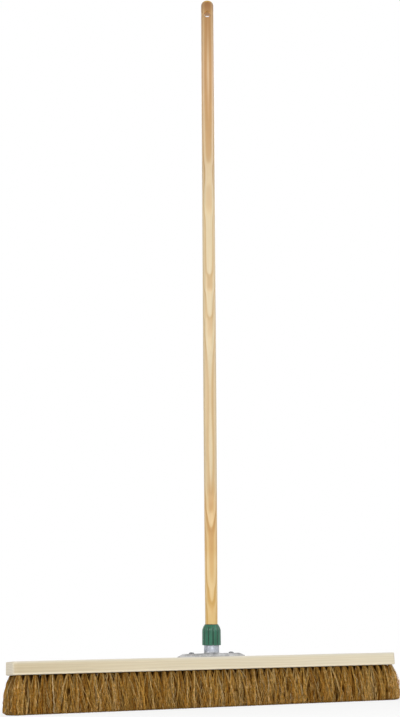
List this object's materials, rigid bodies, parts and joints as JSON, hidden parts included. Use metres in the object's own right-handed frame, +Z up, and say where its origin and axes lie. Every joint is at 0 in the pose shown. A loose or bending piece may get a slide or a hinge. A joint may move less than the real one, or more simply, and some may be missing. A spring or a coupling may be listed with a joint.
{
  "type": "broom",
  "caption": "Wide platform broom: a wooden head with rows of coir tufts, and a wooden handle held in a leaning flanged socket by a fluted screw collar.",
  "frame": {"origin": "on the floor, at the trimmed tip of the middle tuft, under the middle of the head", "axes": "+X runs along the head, +Z up, and the handle leans towards -Y, where the sweeper stands"},
  "size_m": [0.9396, 0.1558, 1.6365],
  "materials": {
    "head_wood": "sawn and sanded, bare",
    "coir": "coarse brown coconut fibre",
    "socket_casting": "as cast, tumbled",
    "screw_steel": "dull zinc plate",
    "collet_nylon": "moulded",
    "collar_plastic": "moulded, satin",
    "handle_wood": "turned, thin clear varnish"
  },
  "bodies": {
    "head": {"stock": "head_wood", "tuft_row_1": "coir", "tuft_row_2": "coir", "tuft_row_3": "coir", "tuft_row_4": "coir", "tuft_row_5": "coir", "handle_socket": "socket_casting", "flange_screw_left": "screw_steel", "flange_screw_right": "screw_steel"},
    "collet": {"clamp_collet": "collet_nylon"},
    "collar": {"clamp_collar": "collar_plastic"},
    "handle": {"handle": "handle_wood"}
  },
  "joints": [
    {"name": "collet_rise", "type": "slide", "parent": "head", "child": "collet", "axis": [0, -0.0698, 0.9976], "range_m": [0, 0.0121]},
    {"name": "collar_turn", "type": "hinge", "parent": "collet", "child": "collar", "pos_m": [0, 0, 0.106], "axis": [0, -0.0698, 0.9976], "range_deg": [0, 1080]},
    {"name": "handle_slide", "type": "slide", "parent": "head", "child": "handle", "axis": [0, -0.0698, 0.9976], "range_m": [0, 0.045]}
  ],
  "couplings": [
    {"joint": "collet_rise", "follows": "collar_turn", "m_per_rad": 0.00063662}
  ]
}
